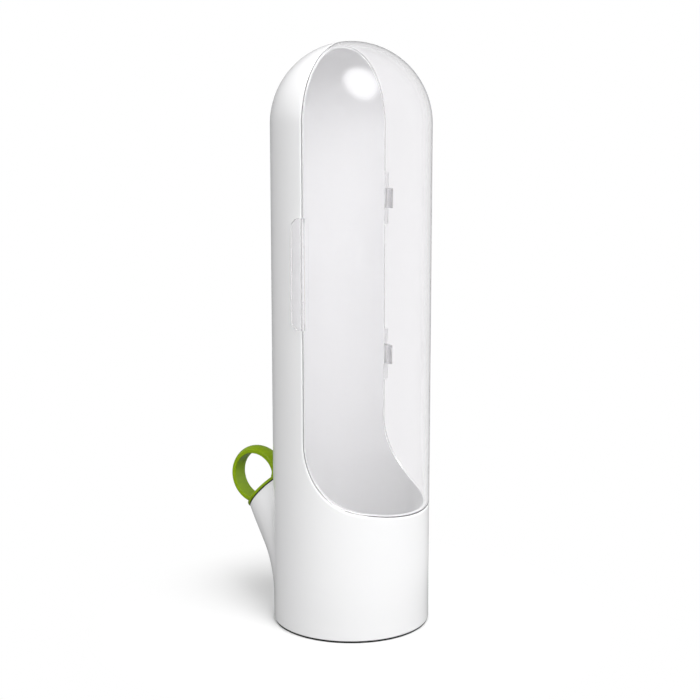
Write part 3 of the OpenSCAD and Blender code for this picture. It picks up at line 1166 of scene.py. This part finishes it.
@dataclass(frozen=True)
class Foot:
    """The bottom cap with its seal ring, and the pad that the pod stands on."""

    capsule: Capsule
    pad_inset: float = 0.4
    pad_round: float = 0.25
    pad_plain: float = 2.0
    pad_rim: float = 1.5
    pad_steps: int = 96
    groove_pitch: float = 3.0
    groove_depth: float = 0.25
    cap_r: float = 33.45
    cap_top: float = 3.3
    spigot_r: float = 32.25
    spigot_top: float = 9.3
    spigot_wall: float = 3.2
    seal_d: float = 1.7
    seal_gap: float = 0.03
    seal_steps: int = 24
    edge_round: float = 0.4
    groove_round: float = 0.1
    floor_round: float = 1.0

    @property
    def seal_z(self) -> float:
        """Height of the seal ring."""
        return (self.cap_top + self.spigot_top) / 2

    @property
    def seal_r(self) -> float:
        """Radius of the seal ring's middle line."""
        return self.capsule.inner_r - self.seal_gap - self.seal_d / 2

    def build_pad(self) -> bpy.types.Object:
        """Builds the pad by turning its section, whose underside has fine grooves.

        Under the pad the height is depth times the square of a sine of the radius.
        """
        edge = self.capsule.radius - self.pad_inset
        top = self.capsule.foot_z
        grooved_r = edge - self.pad_plain
        reach = np.linspace(0, grooved_r, self.pad_steps + 1)
        wave = np.sin(math.pi * reach / self.groove_pitch) ** 2
        under = points_at(reach, self.groove_depth * wave * (reach < grooved_r))
        rim = rounded([(edge - self.pad_rim, 0, 0), (edge, 0, self.pad_round),
                       (edge, top, self.pad_round), (0, top, 0)])
        return turned("foot_pad_grip", np.concatenate([under, rim]))

    def build_cap(self) -> bpy.types.Object:
        """Builds the bottom cap by turning its section, with the seal's groove in its spigot."""
        half = self.seal_d / 2 + self.seal_gap
        floor_r = self.spigot_r - self.spigot_wall
        groove_r = self.seal_r - half
        low, high = self.seal_z - half, self.seal_z + half
        foot_z, soft = self.capsule.foot_z, self.groove_round
        line = rounded([
            (0, foot_z, 0), (self.cap_r, foot_z, self.edge_round),
            (self.cap_r, self.cap_top, self.edge_round), (self.spigot_r, self.cap_top, 0),
            (self.spigot_r, low, soft), (groove_r, low, soft),
            (groove_r, high, soft), (self.spigot_r, high, soft),
            (self.spigot_r, self.spigot_top, self.edge_round), (floor_r, self.spigot_top, self.edge_round),
            (floor_r, self.cap_top, self.floor_round), (0, self.cap_top, 0)])
        return turned("reservoir_cap", line)

    def build_seal(self) -> bpy.types.Object:
        """Builds the seal ring by turning a circle."""
        turn = np.arange(self.seal_steps) * (2 * math.pi / self.seal_steps)
        radius = self.seal_d / 2
        circle = points_at(self.seal_r + radius * np.cos(turn), self.seal_z + radius * np.sin(turn))
        return turned("cap_seal_ring", circle, closed=True)


@dataclass(frozen=True)
class HingePins:
    """The two wire pins of the hinge, with rounded ends."""

    hinge: Hinge
    end_round: float = 0.3
    steps: int = 40

    def build(self, node: str) -> bpy.types.Object:
        """Builds the pin that stands for an imported pin."""
        low, high = (corner[2] for corner in node_box(node))
        radius, soft = self.hinge.pin_r, self.end_round
        line = rounded([(0, low, 0), (radius, low, soft), (radius, high, soft), (0, high, 0)])
        return turned(f"{node}_wire", line, self.hinge.axes(), self.steps)


@dataclass(frozen=True)
class Stopper:
    """The green stopper with its flange, ribbed plug and finger ring, and the washer below it."""

    spout: Spout
    washer_t: float = 0.5
    washer_inset: float = 0.35
    washer_round: float = 0.2
    flange_t: float = 1.2
    plug_len: float = 9.0
    plug_r: float = 10.05
    rib_h: float = 0.6
    rib_sink: float = 0.2
    rib_count: int = 2
    rib_steps: int = 12
    plug_wall: float = 2.0
    ring_r: float = 14.0
    ring_band: float = 3.2
    ring_w: float = 8.0
    ring_rise: float = 9.4
    ring_crown: float = 1.5
    crown_edge: float = 0.86
    crown_steps: int = 11
    ring_round: float = 0.35
    foot_swell: float = 0.25
    foot_fade: float = 1.2
    edge_round: float = 0.35

    def rib(self, along: float) -> list[tuple[float, float, float]]:
        """Points of one sealing rib on the plug, which is part of a circle."""
        radius = self.rib_h + self.rib_sink
        reach = math.acos(self.rib_sink / radius)
        turn = np.linspace(reach, -reach, self.rib_steps + 1)
        centre = self.plug_r - radius
        return [(centre + radius * math.cos(t), along + radius * math.sin(t), 0) for t in turn]

    def plug_profile(self) -> Array:
        """Section of the flange and the hollow plug, from the flange's middle round to the hollow's."""
        top = self.washer_t + self.flange_t
        stem_r = self.plug_r - self.rib_h
        hollow_r = stem_r - self.plug_wall
        rim_r = self.spout.mouth_r
        corners = [(0, top, 0), (rim_r, top, self.edge_round), (rim_r, self.washer_t, self.edge_round),
                   (stem_r, self.washer_t, 0)]
        for place in range(1, self.rib_count + 1):
            corners += self.rib(-self.plug_len * place / (self.rib_count + 1))
        corners += [(stem_r, -self.plug_len, self.edge_round), (hollow_r, -self.plug_len, self.edge_round),
                    (hollow_r, 0, self.edge_round), (0, 0, 0)]
        return rounded(corners)

    def ring_section(self) -> Array:
        """Closed section of the ring's band as (across, out): flat inside, rounded edges and a crown.

        At a share k of the half width the crown stands at band - crown k^2.
        """
        half = self.ring_w / 2
        shares = np.linspace(self.crown_edge, 0, self.crown_steps + 1)
        crown = [(half * k, self.ring_band - self.ring_crown * k ** 2, 0) for k in shares]
        side = rounded([(0, 0, 0), (half, 0, self.ring_round),
                        (half, self.ring_band - self.ring_crown, self.ring_round), *crown])
        return np.concatenate([side, side[-2:0:-1] * [-1, 1]])

    def ring(self, steps: int = 120) -> Array:
        """The finger ring: its section carried round part of a circle, with feet that swell a little.

        At an angle t a point of the section is at (reach sin t, rise - reach cos t). Its size grows by
        1 + swell exp(-distance / fade), where distance is the height above the flange.

        Args:
            steps: Segments along the ring.

        Returns:
            The grid of points, section by section.
        """
        inner_r = self.ring_r - self.ring_band
        middle = self.ring_r - self.ring_band / 2
        section = self.ring_section()
        floor = self.washer_t + self.flange_t / 2
        start = math.acos((self.ring_rise - floor) / middle)
        turn = np.linspace(start, 2 * math.pi - start, steps + 1)[:, None]
        height = self.ring_rise - middle * np.cos(turn) - self.washer_t - self.flange_t
        swell = self.foot_swell * np.exp(-np.maximum(height, 0) / self.foot_fade)
        across = section[:, 0] * (1 + swell / 2)
        reach = inner_r + section[:, 1] - (self.ring_band - section[:, 1]) * swell
        local = points_at(across, reach * np.sin(turn), self.ring_rise - reach * np.cos(turn))
        ends = [local[row].mean(axis=0, keepdims=True).repeat(local.shape[1], axis=0) for row in (0, -1)]
        return self.spout.axes().place(np.concatenate([ends[:1], local, ends[1:]]))

    def build(self) -> bpy.types.Object:
        """Builds the stopper as one mesh."""
        skin = Skin()
        skin.grid(lathe(self.plug_profile(), self.spout.axes()), wrap_v=True)
        skin.grid(self.ring(), wrap_v=True)
        return skin.piece("ring_stopper")

    def build_washer(self) -> bpy.types.Object:
        """Builds the washer by turning a rounded section."""
        outer, inner = self.spout.mouth_r - self.washer_inset, self.plug_r
        middle, soft = (outer + inner) / 2, self.washer_round
        line = rounded([(middle, 0, 0), (outer, 0, soft), (outer, self.washer_t, soft),
                        (inner, self.washer_t, soft), (inner, 0, soft), (middle, 0, 0)], steps=3)
        return turned("mouth_washer", line, self.spout.axes())


# Studio


@dataclass(frozen=True)
class Lamp:
    """A soft oval lamp: its place, its width and height, its power, whether gloss shows it, its core."""

    name: str
    direction: tuple[float, float, float]
    distance: float
    size: tuple[float, float]
    power: float
    shown: bool = True
    core: float = 0.22

    def build(self, target: Vector) -> None:
        """Makes the lamp, aimed at the target and fading from its core, a share of its size, to its rim."""
        data = bpy.data.lights.new(self.name, "AREA")
        data.shape, data.energy = "ELLIPSE", self.power
        data.size, data.size_y = self.size
        shader = Shader(data)
        across = shader.node("NewGeometry", output="Parametric")
        radius = shader.measure("DISTANCE", across, (0.5, 0.5, 0))
        strength = 1.0 - shader.step(radius, self.core, 0.5)
        shader.surface(shader.node("Emission", inputs={"Strength": strength}))
        lamp = bpy.data.objects.new(self.name, data)
        toward = Vector(self.direction).normalized()
        lamp.location = target + toward * self.distance
        lamp.rotation_mode = "QUATERNION"
        lamp.rotation_quaternion = toward.to_track_quat("Z", "Y")
        lamp.visible_glossy = lamp.visible_transmission = self.shown
        bpy.context.scene.collection.objects.link(lamp)


@dataclass(frozen=True)
class Studio:
    """A pale floor, soft lamps and a camera at the photograph's angle, in metres and degrees."""

    azimuth: float = -58.22
    tilt: float = 9.2
    distance: float = 0.6
    aim_z: float = 0.1226
    lens: float = 69.794
    shift: tuple[float, float] = (-0.0018, 0.0)
    far_clip: float = 100.0
    floor_r: float = 14.0
    first_r: float = 0.1
    floor_rings: int = 24
    near_r: float = 0.05
    far_r: float = 0.12
    floor_colour: Colour = (0.86, 0.86, 0.86)
    bounce_colour: Colour = (0.15, 0.15, 0.15)
    mirror_dim: Colour = (0.25, 0.25, 0.26)
    bright_side: tuple[float, float, float] = (-0.35, -0.937, 0.0)
    fade: tuple[float, float] = (-0.75, 0.6)
    bright: float = 2.05
    dim: float = 2.0
    fall: float = 0.97
    lamps: tuple[Lamp, ...] = (
        Lamp("key_lamp", (-0.285, -0.42, 0.862), 1.2, (1.1, 1.35), 18.0),
        Lamp("front_lamp", (-0.44, -0.76, 0.48), 1.2, (0.7, 0.7), 6.5, shown=False),
    )

    def build_camera(self) -> None:
        """Makes the camera at the photograph's angle."""
        data = bpy.data.cameras.new("camera")
        data.lens, data.clip_end = self.lens, self.far_clip
        data.shift_x, data.shift_y = self.shift
        camera = bpy.data.objects.new("camera", data)
        turn, rise = math.radians(self.azimuth), math.radians(self.tilt)
        back = Vector((math.sin(turn) * math.cos(rise), -math.cos(turn) * math.cos(rise), math.sin(rise)))
        camera.location = Vector((0, 0, self.aim_z)) + back * self.distance
        camera.rotation_mode = "QUATERNION"
        camera.rotation_quaternion = back.to_track_quat("Z", "Y")
        bpy.context.scene.collection.objects.link(camera)
        bpy.context.scene.camera = camera

    def build_floor(self) -> None:
        """Makes the floor, lit near the pod and plain white far from it."""
        reach = np.concatenate([[0], np.geomspace(self.first_r, self.floor_r, self.floor_rings)]) / MM
        floor = turned("floor", points_at(reach, 0.0), steps=64)
        made = bpy.data.materials.new("pale_floor")
        shader = Shader(made)
        where = shader.node("TexCoord", output="Object")
        distance = shader.measure("LENGTH", where)
        far = shader.step(distance, self.near_r, self.far_r)
        way = shader.node("VectorMath", {"operation": "NORMALIZE"}, {0: where})
        mirrored = shader.tint(self.front_share(shader, way), self.mirror_dim, (1, 1, 1))
        lit = shader.node("BsdfDiffuse", inputs={"Color": (*self.floor_colour, 1)})
        bounce = shader.node("BsdfDiffuse", inputs={"Color": (*self.bounce_colour, 1)})
        white = shader.node("Emission", inputs={"Color": (1, 1, 1, 1), "Strength": 1.0})
        room = shader.node("Emission", inputs={"Color": mirrored, "Strength": 1.0})
        through = shader.light_path("Transmission")
        glossy = shader.light_path("Glossy") - through
        seen = shader.light_path("Camera").or_else(through)
        near = shader.node("MixShader", inputs={0: seen, 1: bounce, 2: lit})
        away = shader.node("MixShader", inputs={0: glossy, 1: white, 2: room})
        shader.surface(shader.node("MixShader", inputs={0: far * seen.or_else(glossy), 1: near, 2: away}))
        floor.data.materials.append(made)
        if floor.data.polygons[0].normal.z < 0:
            floor.data.flip_normals()

    def front_share(self, shader: Shader, way: Value) -> Value:
        """How far a direction points to the studio's bright side, from 0 to 1."""
        return shader.step(shader.measure("DOT_PRODUCT", way, self.bright_side), *self.fade)

    def build_world(self) -> None:
        """Makes the world: white to the eye, with soft light that fades from the front to the back."""
        world = bpy.data.worlds.new("studio")
        bpy.context.scene.world = world
        shader = Shader(world)
        way = shader.node("TexCoord", output="Generated")
        share = self.front_share(shader, way)
        rise = shader.measure("DOT_PRODUCT", way, (0, 0, 1))
        level = (self.dim + (self.bright - self.dim) * share) * (1.0 - self.fall * rise.or_else(0.0))
        room = shader.node("Background", inputs={"Color": (1, 1, 1, 1), "Strength": level})
        mirrored = shader.node("Background", inputs={"Color": shader.tint(share, self.mirror_dim, (1, 1, 1))})
        white = shader.node("Background", inputs={"Color": (1, 1, 1, 1), "Strength": 1.0})
        unlit = shader.node("MixShader", inputs={0: shader.light_path("Glossy"), 1: room, 2: mirrored})
        seen = shader.light_path("Camera", "Transmission")
        shader.surface(shader.node("MixShader", inputs={0: seen, 1: unlit, 2: white}))

    def build(self, target: Vector) -> None:
        """Makes the whole studio round a target point."""
        self.build_camera()
        self.build_floor()
        self.build_world()
        for lamp in self.lamps:
            lamp.build(target)
        bpy.context.scene.view_settings.view_transform = "Standard"


def main() -> None:
    """Builds every piece of the pod and the studio around it."""
    logging.basicConfig(level=logging.INFO, format="%(name)s: %(message)s")
    capsule = Capsule()
    window = Window(capsule)
    hinge = Hinge(capsule, window)
    spout = Spout(capsule)
    white, clear = WHITE_PLASTIC.material(), CLEAR_PLASTIC.material()
    green, rubber, steel = GREEN_PLASTIC.material(), DARK_RUBBER.material(), PIN_STEEL.material()

    shell = WhiteShell(capsule, window, hinge, spout)
    dress(shell.build(), "body_shell", Body.HOUSING, Slot.WHITE, white)
    door = ClearDoor(capsule, window, hinge)
    dress(door.build(), "front_door", Body.DOOR, Slot.CLEAR, clear)
    foot = Foot(capsule)
    dress(foot.build_cap(), "bottom_cap", Body.HOUSING, Slot.WHITE, white)
    dress(foot.build_seal(), "bottom_seal", Body.HOUSING, Slot.RUBBER, rubber)
    dress(foot.build_pad(), "foot_pad", Body.HOUSING, Slot.RUBBER, rubber)
    pins = HingePins(hinge)
    for node in ("upper_hinge_pin", "lower_hinge_pin"):
        dress(pins.build(node), node, Body.HOUSING, Slot.STEEL, steel)
    stopper = Stopper(spout)
    dress(stopper.build(), "spout_stopper", Body.STOPPER, Slot.GREEN, green)
    dress(stopper.build_washer(), "stopper_washer", Body.STOPPER, Slot.RUBBER, rubber)

    Studio().build((cad_box[0] + cad_box[1]) / 2)


if __name__ == "__main__":
    main()
